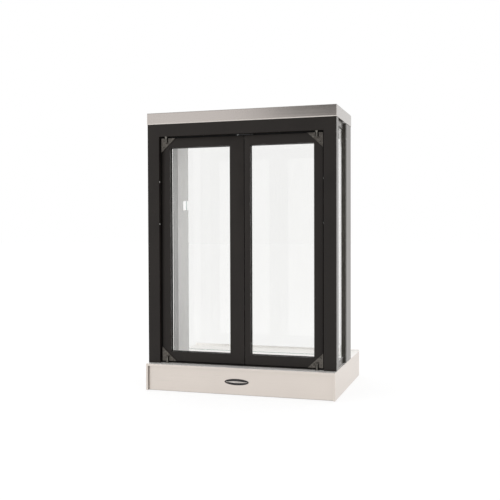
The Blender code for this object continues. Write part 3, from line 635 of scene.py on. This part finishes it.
# Parts with a shape of their own below, and parts with a look or edge of their own.
CUSTOM = {"top_cap", "nameplate", "lamp_lens", *FEET}
SPECIAL = {
    "side_panel_left": dict(look="outer_steel", inside="inner_steel"),
    "side_panel_right": dict(look="outer_steel", inside="inner_steel"),
    "rear_header": dict(look="stile_painted_light", inside="inner_steel"),
    "rear_clamp_bottom": dict(inside="bright_metal"),
    "rear_clamp_top": dict(inside="bright_metal"),
    "ceiling_panel": dict(look="inner_steel"),
    # The retainers' outward and forward faces take the brighter glowing steel: painted light.
    "side_retainer_left": dict(look="retainer_painted_light", inside="grey_anodised", front="retainer_painted_light"),
    "side_retainer_right": dict(look="retainer_painted_light", inside="grey_anodised", front="retainer_painted_light"),
    "face_frame": dict(width=0.6),
    "door_frame_left": dict(width=0.5),
    "door_frame_right": dict(width=0.5),
    "base_shell": dict(width=0.5, deck="deck_painted_light"),
    "floor_grille": dict(look="deck_painted_light"),
    "base_front_panel": dict(width=0.4),
    "heater_element": dict(width=0.1, angle=50.0),
}
for bracket_corner in ("left_top", "left_bottom", "right_top", "right_bottom"):
    SPECIAL["pivot_bracket_" + bracket_corner] = dict(width=0.25)
    SPECIAL["pivot_pin_" + bracket_corner] = dict(look="dull_pin", width=0.2)

for node_name, slot_name in SLOT_OF.items():
    if node_name in CUSTOM:
        continue
    if slot_name == "clear_glass":
        pane(node_name)
    else:
        stand_in(node_name, **SPECIAL.get(node_name, {}))


# ------------------------------------------------------------------------ cap
def build_cap():
    """Folded cap with rounded corners and a hemmed lower edge."""
    low, high = extent("top_cap")
    foot, top = low.z, high.z
    sheet, face, roll = 1.2, 0.25, 3.2
    profile = [(sheet, top - sheet), (sheet, foot + 1.0), (1.0, foot + 0.2), (0.6, foot),
               (0.3, foot + 0.15), (0.08, foot + 0.6), (0.0, foot + 1.3), (0.04, foot + 2.0),
               (0.16, foot + 2.6), (face, foot + roll), (face, top - 1.6), (face + 0.1, top - 1.0),
               (face + 0.4, top - 0.4), (face + 1.2, top)]
    bm = bmesh.new()
    sweep(bm, "z", (low.x, low.y), (high.x, high.y), profile, radius=1.8, steps=4, closed=False)
    piece = show("top_cap_folded", to_mesh("top_cap", bm), "cabinet", "stainless", "cap_steel", smooth=40)
    # The top bend and the sides take darker copies of the cap steel, painted shade; the hem and the front
    # corners a lighter one, a painted highlight.
    for look in ("cap_bend_shade", "cap_side_shade", "cap_hem_highlight"):
        piece.data.materials.append(LOOKS[look])
    bend = at(0, 0, top - 1.7).z
    hem = at(0, 0, foot + 3.0).z
    for polygon in piece.data.polygons:
        corner = abs(polygon.normal.x) > 0.2 and polygon.normal.y < -0.2
        if polygon.center.z > bend and polygon.normal.z < 0.9:
            polygon.material_index = 1
        elif corner or (polygon.center.z < hem and polygon.normal.y < -0.2):
            polygon.material_index = 3
        elif abs(polygon.normal.x) > 0.9:
            polygon.material_index = 2
    weighted = piece.modifiers.new("even_shading", "WEIGHTED_NORMAL")
    weighted.keep_sharp = True
    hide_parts("top_cap")


# ---------------------------------------------------------------------- badge
def build_nameplate():
    """Plain oval badge: dark rim and field with a slim bright lozenge."""
    low, high = extent("nameplate")
    centre = ((low.x + high.x) / 2, (low.z + high.z) / 2)
    half_x, half_z = (high.x - low.x) / 2, (high.z - low.z) / 2
    face, back = low.y, high.y
    bm = bmesh.new()
    profile = [(1.0, back), (1.0, face + 0.5), (0.992, face + 0.15), (0.972, face),
               (0.952, face + 0.12), (0.94, face + 0.55), (0.55, face + 0.42), (0.2, face + 0.38)]
    lathe(bm, "y", centre, profile, 72, (half_x, half_z))
    plate = show("nameplate_oval", to_mesh("nameplate", bm), "cabinet", "black_plastic", "black_gloss",
                 smooth=40)
    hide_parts("nameplate")

    bm = bmesh.new()
    outline = []
    count, reach, tip, swell = 40, 0.90, 0.05, 0.24
    for index in range(count + 1):
        share = -1 + 2 * index / count
        outline.append((share * half_x * reach, half_z * (tip + swell * (1 - share * share) ** 2)))
    full = outline + [(x, -z) for x, z in reversed(outline)]
    levels = ((1.0, face + 0.5), (1.0, face + 0.12), (0.93, face + 0.02))
    rings = []
    for scale, y in levels:
        rings.append([bm.verts.new(at(centre[0] + x * (0.5 + 0.5 * scale), y, centre[1] + z * scale))
                      for x, z in full])
    loft(bm, rings)
    show("nameplate_lozenge", to_mesh("nameplate_lozenge", bm), "cabinet", "bright_metal",
         "badge_metal", smooth=40)


# ----------------------------------------------------------------------- base
def build_panel_seal():
    """Grey seal on both sides and along the foot of the base's front panel; its grey is painted shade for
    the recess and the foot.
    """
    low, high = extent("base_shell")
    panel_low, panel_high = extent("base_front_panel")
    strip, top_strip, sheet = 6.5, 7.0, 1.5
    front, back, foot = low.y + sheet + 0.3, panel_low.y - 0.1, low.z + 0.1
    seals = []
    for side in (-1, 1):
        seals.append(((side * (high.x - strip), front, foot),
                      (side * (panel_high.x - 0.2), back, -top_strip)))
    seals.append(((panel_low.x, panel_low.y + 0.1, foot),
                  (panel_high.x, panel_low.y + 2.4, panel_low.z - 0.1)))
    # The seal's grey stands for the shade in the panel's recess and under its foot: painted shade.
    blocks("front_panel_shade_seal", seals, "cabinet", "black_rubber", "grey_shade_trim", width=0.3)


def build_feet():
    """Round rubber feet with a groove and a hollow sole."""
    for node in FEET:
        low, high = extent(node)
        centre = ((low.x + high.x) / 2, (low.y + high.y) / 2)
        radius = (high.x - low.x) / 2
        sole, top = low.z, high.z
        profile = [(radius, top), (radius, sole + 0.7), (radius - 0.25, sole + 0.2),
                   (radius - 0.9, sole), (radius - 3.4, sole), (radius - 3.7, sole + 0.3),
                   (radius - 4.3, sole + 0.3), (radius - 4.6, sole), (6.4, sole), (6.1, sole + 0.2),
                   (5.8, sole + 1.1), (0.8, sole + 1.1)]
        bm = bmesh.new()
        lathe(bm, "z", centre, profile, 48)
        piece = show(node + "_moulded", to_mesh(node, bm), "cabinet", "black_rubber", smooth=40)
        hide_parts(node)


# ----------------------------------------------------------------------- lamp
def build_lamp_lens():
    """Ribbed diffuser under the lamp."""
    low, high = extent("lamp_lens")
    pitch, valley, crest = 2.0, 0.75, 0.2
    count = round((high.y - low.y) / pitch)
    line = [(low.y, high.z), (low.y, low.z + crest)]
    for index in range(count):
        start = low.y + pitch * index
        line.append((start + pitch * 0.5, low.z + valley))
        line.append((start + pitch, low.z + crest))
    line.append((high.y, high.z))
    bm = bmesh.new()
    left = [bm.verts.new(at(low.x, y, z)) for y, z in line]
    right = [bm.verts.new(at(high.x, y, z)) for y, z in line]
    loft(bm, [left, right])
    mesh = to_mesh("lamp_lens", bm)
    piece = show("lamp_lens_ribbed", mesh, "cabinet", SLOT_OF["lamp_lens"], "lamp_diffuser")
    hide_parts("lamp_lens")


# ---------------------------------------------------------------------- seals
def build_door_seal():
    """Black seal strips behind the doors, round the opening and on both sides of the catch; they also
    paint the shade in the gaps.
    """
    door_low = extent("door_frame_left")[0]
    catch_low, catch_high = extent("door_catch")
    edge = -door_low.x
    end = JAMB_X - 0.1
    near, far = 18.0, 28.0
    strips = [
        ((-end, near, HEAD_Z - 4.4), (catch_low.x - 0.4, far, HEAD_Z - 0.1)),
        ((catch_high.x + 0.4, near, HEAD_Z - 4.4), (end, far, HEAD_Z - 0.1)),
        ((-end, near, SILL_Z + 0.1), (end, far, door_low.z - 0.3)),
        ((-end, near, SILL_Z + 0.3), (-edge - 0.5, far, HEAD_Z - 4.6)),
        ((edge + 0.5, near, SILL_Z + 0.3), (end, far, HEAD_Z - 4.6)),
    ]
    blocks("door_seal", strips, "cabinet", "black_rubber", width=0.8)


def build_window_seals(tag, side):
    """Seal round a side window, and a dark strip on the post behind it that paints the shade line at its
    edge.
    """
    glass_low, glass_high = extent("side_glass_" + tag)
    lap, front_lap = 8, 7
    front, rear = glass_low.y + front_lap, glass_high.y - lap
    foot, top = glass_low.z + lap, glass_high.z - lap
    back, face = side * 291.1, side * 298.2
    seal = [((back, front + 0.1, top - 1.6), (face, rear - 0.1, top - 0.1)),
            ((back, rear - 1.6, foot + 0.2), (face, rear - 0.1, top - 1.8)),
            ((back, front + 0.1, foot + 0.2), (face, front + 1.3, top - 1.8))]
    blocks("window_seal_" + tag, seal, "cabinet", "black_rubber", "dark_seal_and_shade", width=0.5)

    # The dark strip and its flange paint the shade line along the post's front edge.
    start, base, cover = POST_FRONT_Y - 1.8, 0.9, 11.0
    edge = ((side * (RECESS_FACE_X + 0.3), start, base),
            (side * (POST_FACE_X - 0.4), POST_FRONT_Y - 0.1, POST_TOP_Z))
    flange = ((side * (POST_FACE_X + 0.05), start, base),
              (side * (POST_FACE_X + 0.6), POST_FRONT_Y + cover, POST_TOP_Z - 0.2))
    blocks("recess_shade_strip_" + tag, [edge, flange], "cabinet", "black_rubber", "dark_seal_and_shade", width=0.25)


def build_door_gasket(tag):
    """Thin lip between a framed door's glass and its frame."""
    name = "door_gasket_" + tag
    bead_low, bead_high = extent("door_bead_" + tag)
    glass_front = extent("door_glass_" + tag)[0].y
    lip = 7.7
    profile = [(0.05, glass_front - 0.1), (0.05, glass_front - 1.6), (0.5, glass_front - 1.5),
               (1.2, glass_front - 0.8), (1.4, glass_front - 0.1)]
    inner_low = (bead_low.x + lip, bead_low.z + lip)
    inner_high = (bead_high.x - lip, bead_high.z - lip)
    bm = bmesh.new()
    sweep(bm, "y", inner_low, inner_high, profile)
    show(name, to_mesh(name, bm), tag + "_door", "black_rubber", smooth=35)


def build_seals():
    """Seals of the doors and the windows."""
    build_door_seal()
    for tag, side in (("left", -1), ("right", 1)):
        build_window_seals(tag, side)
        build_door_gasket(tag)


# ------------------------------------------------------------- rear control bay
KNOB = (-190.0, -42.0)
PILOT = (-142.0, -42.0)
DIAL_MARKS, DIAL_STEP = 10, 30
TICK_RADIUS, NUMBER_RADIUS = 22.2, 28.0
NUMBER_SIZE, NUMBER_RELIEF = 5.2, 0.07
LOUVRES, LOUVRE_START, LOUVRE_PITCH = 10, -30.0, 16.0
LOUVRE_FOOT, LOUVRE_LENGTH = -65.5, 47.0
HOOD_EDGE, HOOD_WIDTH, HOOD_RISE, HOOD_SHEET = -4.4, 7.6, 3.0, 0.7


def build_dial(panel):
    """Scale marks and plain numbers round the thermostat knob."""
    bm = bmesh.new()
    for step in range(DIAL_MARKS):
        angle = math.radians(DIAL_STEP * step)
        across = Vector((math.cos(angle), 0, math.sin(angle)))
        out = Vector((-math.sin(angle), 0, math.cos(angle)))
        middle = Vector((KNOB[0], panel, KNOB[1])) + out * TICK_RADIUS
        half, long = 0.35, 2.2 if step % 3 == 0 else 1.5
        lower, upper = [], []
        for a, b in ((-half, -long), (half, -long), (half, long), (-half, long)):
            spot = middle + across * a + out * b
            lower.append(bm.verts.new(at(spot.x, spot.y + 0.02, spot.z)))
            upper.append(bm.verts.new(at(spot.x, spot.y + 0.16, spot.z)))
        loft(bm, [lower, upper])
    show("dial_ticks", to_mesh("dial_ticks", bm), "cabinet", "black_plastic", "black_mark")

    facing_back = Matrix(((-1, 0, 0), (0, 0, 1), (0, 1, 0))).to_4x4()
    bm = bmesh.new()
    for step in range(DIAL_MARKS):
        angle = math.radians(DIAL_STEP * step)
        text = bpy.data.curves.new("dial_number", "FONT")
        text.body = str(step)
        text.size = NUMBER_SIZE * MM
        text.extrude = NUMBER_RELIEF * MM
        text.align_x = "CENTER"
        text.align_y = "CENTER"
        text.resolution_u = 3
        holder = add_object("dial_number", text)
        bpy.context.view_layer.update()
        evaluated = holder.evaluated_get(bpy.context.evaluated_depsgraph_get())
        mesh = bpy.data.meshes.new_from_object(evaluated)
        x = KNOB[0] - NUMBER_RADIUS * math.sin(angle)
        z = KNOB[1] + NUMBER_RADIUS * math.cos(angle)
        mesh.transform(Matrix.Translation(at(x, panel + 0.09, z)) @ facing_back)
        bm.from_mesh(mesh)
        bpy.data.objects.remove(holder)
        bpy.data.meshes.remove(mesh)
    show("dial_numbers", to_mesh("dial_numbers", bm), "cabinet", "black_plastic", "black_mark")


def build_pilot_bezel(panel):
    """Bright ring round the pilot light."""
    profile = [(5.2, panel + 0.05), (6.7, panel + 0.05), (6.7, panel + 0.8), (6.3, panel + 1.4),
               (5.6, panel + 1.4), (5.2, panel + 0.9)]
    segments = 40
    turns = [2 * math.pi * index / segments for index in range(segments)]
    bm = bmesh.new()
    rings = []
    for radius, y in profile:
        rings.append([bm.verts.new(at(PILOT[0] + radius * math.cos(turn), y,
                                      PILOT[1] + radius * math.sin(turn))) for turn in turns])
    loft(bm, rings, wrap=True, caps=False)
    show("pilot_bezel", to_mesh("pilot_bezel", bm), "cabinet", "bright_metal", smooth=40)


def build_louvres(panel):
    """Pressed hoods over the slots of the control panel."""
    bm = bmesh.new()
    arc_steps, long_steps, shoulder = 8, 14, 2.6
    for index in range(LOUVRES):
        x0 = LOUVRE_START + LOUVRE_PITCH * index
        outer_grid, inner_grid = [], []
        for row in range(long_steps + 1):
            share = row / long_steps
            z = LOUVRE_FOOT + LOUVRE_LENGTH * share
            lift = min(1.0, math.sin(math.pi * share) * shoulder) if 0 < row < long_steps else 0.0
            outer_row, inner_row = [], []
            for col in range(arc_steps + 1):
                angle = math.pi / 2 * col / arc_steps
                dx = HOOD_EDGE + HOOD_WIDTH * (1 - math.cos(angle))
                dy = 0.35 + HOOD_RISE * math.sin(angle) * lift
                under = max(0.05, dy - HOOD_SHEET)
                outer_row.append(bm.verts.new(at(x0 + dx, panel + dy, z)))
                inner_row.append(bm.verts.new(at(x0 + dx + 0.3, panel + under, z)))
            outer_grid.append(outer_row)
            inner_grid.append(inner_row)
        for row in range(long_steps):
            for col in range(arc_steps):
                for grid in (outer_grid, inner_grid):
                    bm.faces.new((grid[row][col], grid[row][col + 1], grid[row + 1][col + 1],
                                  grid[row + 1][col]))
            for col in (0, arc_steps):
                bm.faces.new((outer_grid[row][col], outer_grid[row + 1][col],
                              inner_grid[row + 1][col], inner_grid[row][col]))
        for row in (0, long_steps):
            for col in range(arc_steps):
                bm.faces.new((outer_grid[row][col], outer_grid[row][col + 1],
                              inner_grid[row][col + 1], inner_grid[row][col]))
    show("louvre_hoods", to_mesh("louvre_hoods", bm), "cabinet", "stainless", smooth=45)


def build_controls():
    """Markings, bezel, louvres and screws of the rear control panel."""
    panel = extent("control_panel")[1].y
    build_dial(panel)
    build_pilot_bezel(panel)
    build_louvres(panel)
    columns = ((-294, 294), (-55, 150))
    places = [(x, panel, z, "+y", 2.6) for pair in columns for x in pair for z in (-12, -74)]
    screws("control_panel_screws", "cabinet", places)


# ------------------------------------------------------------------- hardware
def build_screws():
    """Screws of the brackets, jambs, walls, retainers, grille, catch and rear door.

    The catch has one bright screw and one black one.
    """
    for tag, side in (("left", -1), ("right", 1)):
        door_low, door_high = extent("door_frame_" + tag)
        corner = door_low.x if side < 0 else door_high.x
        places = []
        for edge, way in ((door_low.z, 1), (door_high.z, -1)):
            for dx, dz in ((9, 30), (29, 11)):
                places.append((corner - side * dx, BRACKET_FACE_Y, edge + way * dz, "-y", 3.6))
        screws("bracket_screws_" + tag, tag + "_door", places, "dull_pin")

    jamb, inner, outer, retainer = [], [], [], []
    for side in (-1, 1):
        into, out = FACING_IN[side], FACING_OUT[side]
        post, recess, bar = side * POST_FACE_X, side * RECESS_FACE_X, side * RETAINER_FACE_X
        jamb += [(side * JAMB_X, 5.0, z, into, 2.8) for z in (444, 578)]
        inner += [(side * INNER_WALL_X, 220.0, z, into, 2.6) for z in (82, 384, 686)]
        outer += [(post, 163.0, 710.0, out, 2.0), (post, 221.0, 10.0, out, 2.0),
                  (recess, 100.0, 9.0, out, 2.4), (recess, 100.0, 750.0, out, 2.4)]
        retainer += [(bar, y, z, into, 1.9) for z in (60, 270, 490, 700) for y in (38.6, 162.0)]
    screws("jamb_screws", "cabinet", jamb)
    screws("inner_wall_screws", "cabinet", inner)
    screws("side_panel_screws", "cabinet", outer)
    screws("retainer_screws", "cabinet", retainer)

    grille = [(x, y, GRILLE_TOP_Z, "+z", 2.6) for x in (-247, 247) for y in (46, 226)]
    screws("grille_screws", "cabinet", grille)
    screws("catch_screw_left", "cabinet", [(-6.7, CATCH_FACE_Y, 718.8, "-y", 1.8)])
    screws("catch_screw_right", "cabinet", [(34.3, CATCH_FACE_Y, 718.8, "-y", 1.4)], "black_paint")
    pivots = [(286.5, 251.3, 748.0, "+y", 2.2), (296.0, 251.3, 748.0, "+y", 2.2),
              (298.3, 259.0, 3.3, "+z", 1.8)]
    screws("rear_pivot_screws", "cabinet", pivots)
    clamps = [(277.0, 260.0, z, "+y", 2.2) for z in (20, 34, 705, 719)]
    screws("rear_clamp_screws", "rear_door", clamps)


# ---------------------------------------------------------------------- stage
FLOOR_SIZE = 30.0
FLOOR_GREY, FLOOR_DRIFT = 0.24, 0.003
FLOOR_GLOW = 0.78


def grey(value):
    """A neutral colour."""
    return (value, value, value)


def stage_floor():
    """Pale studio floor."""
    bm = bmesh.new()
    bmesh.ops.create_grid(bm, x_segments=1, y_segments=1, size=FLOOR_SIZE)
    floor = add_object("studio_floor", to_mesh("studio_floor", bm))
    look = Look("studio_floor", grey(FLOOR_GREY), 0.0, 0.9)
    cloud = look.noise(look.where.outputs["Object"], 3.0, 3.0)
    stops = ((0.30, grey(FLOOR_GREY - FLOOR_DRIFT)), (0.70, grey(FLOOR_GREY + FLOOR_DRIFT)))
    look.colour(look.ramp(cloud, stops))
    look.set(emission_color=(*grey(1.0), 1.0), emission_strength=FLOOR_GLOW, specular_ior_level=0.0)
    floor.data.materials.append(look.material)


def area_light(name, where, aim, size, power, colour=(1.0, 1.0, 1.0)):
    """Rectangular softbox that no surface mirrors."""
    data = bpy.data.lights.new(name, "AREA")
    data.shape = "RECTANGLE"
    data.size, data.size_y = size
    data.energy = power
    data.color = colour
    light = add_object(name, data)
    light.location = where
    light.rotation_euler = (Vector(aim) - Vector(where)).to_track_quat("-Z", "Y").to_euler()
    light.visible_glossy = False


# Where the dark opening fades in: (no dark, full dark), azimuths in degrees and
# heights as the sine of the elevation.
OPENING_LEFT, OPENING_RIGHT = (-17.5, -13.5), (26.0, 14.0)
OPENING_FOOT, OPENING_TOP = (0.115, 0.155), (0.62, 0.42)
OPENING_DEPTH = 0.97


def studio_world():
    """White studio with one dark opening in front, which the cap reflects."""
    world = bpy.data.worlds.new("studio")
    bpy.context.scene.world = world
    world.use_nodes = True
    tree = world.node_tree
    nodes, links = tree.nodes, tree.links

    def math_node(operation, first, second=0.0):
        made = nodes.new("ShaderNodeMath")
        made.operation = operation
        for socket, value in zip(made.inputs, (first, second)):
            if isinstance(value, (int, float)):
                socket.default_value = value
            else:
                links.new(value, socket)
        return made.outputs["Value"]

    def fade(value, start, end):
        made = nodes.new("ShaderNodeMapRange")
        made.interpolation_type = "SMOOTHSTEP"
        made.inputs["From Min"].default_value = start
        made.inputs["From Max"].default_value = end
        links.new(value, made.inputs["Value"])
        return made.outputs["Result"]

    direction = nodes.new("ShaderNodeTexCoord").outputs["Generated"]
    parts = nodes.new("ShaderNodeSeparateXYZ")
    links.new(direction, parts.inputs["Vector"])
    azimuth = math_node("ARCTAN2", parts.outputs["X"], math_node("MULTIPLY", parts.outputs["Y"], -1.0))
    left, right = (fade(azimuth, *(math.radians(edge) for edge in edges))
                   for edges in (OPENING_LEFT, OPENING_RIGHT))
    foot, top = (fade(parts.outputs["Z"], *edges) for edges in (OPENING_FOOT, OPENING_TOP))
    opening = math_node("MULTIPLY", math_node("MULTIPLY", left, right), math_node("MULTIPLY", foot, top))
    light = math_node("SUBTRACT", 1.0, math_node("MULTIPLY", opening, OPENING_DEPTH))
    level = nodes.new("ShaderNodeCombineXYZ")
    for socket in level.inputs:
        links.new(light, socket)
    seen = nodes.new("ShaderNodeLightPath").outputs["Is Camera Ray"]
    background = nodes["Background"]
    white = nodes.new("ShaderNodeBackground")
    white.inputs["Color"].default_value = (*grey(1.0), 1.0)
    links.new(level.outputs["Vector"], background.inputs["Color"])
    choice = nodes.new("ShaderNodeMixShader")
    links.new(seen, choice.inputs["Fac"])
    links.new(background.outputs["Background"], choice.inputs[1])
    links.new(white.outputs["Background"], choice.inputs[2])
    links.new(choice.outputs["Shader"], nodes["World Output"].inputs["Surface"])


def studio():
    """Floor, surroundings and the two softboxes."""
    stage_floor()
    studio_world()
    area_light("key_softbox", (-1.3, -1.5, 1.0), (-0.25, 0.0, 0.4), (0.9, 1.4), 7.0, (1.0, 0.985, 0.97))
    area_light("top_softbox", (0.2, 0.6, 3.0), (0.0, 0.0, 0.5), (2.2, 2.2), 7.0)
    bpy.context.scene.view_settings.view_transform = "Standard"


CAMERA_PLACE = (0.7366, -2.4762, 0.5033)
CAMERA_TURN = (17.10, 1.31, -0.177)
CAMERA_LENS = 55.83


def camera():
    """Camera turned by yaw to the left, pitch down and roll, in degrees."""
    data = bpy.data.cameras.new("camera")
    data.lens = CAMERA_LENS
    data.sensor_width = 36.0
    data.clip_start = 0.05
    data.clip_end = 100.0
    cam = add_object("camera", data)
    yaw, pitch, roll = (math.radians(value) for value in CAMERA_TURN)
    across = math.cos(pitch)
    ahead = Vector((-math.sin(yaw) * across, math.cos(yaw) * across, -math.sin(pitch)))
    right = Vector((math.cos(yaw), math.sin(yaw), 0.0))
    level = Matrix((right, right.cross(ahead), -ahead)).transposed()
    turn = Matrix.Rotation(roll, 3, "Z")
    cam.matrix_world = Matrix.Translation(CAMERA_PLACE) @ (level @ turn).to_4x4()
    bpy.context.scene.camera = cam


build_cap()
build_nameplate()
build_panel_seal()
build_feet()
build_lamp_lens()
build_seals()
build_controls()
build_screws()
studio()
camera()
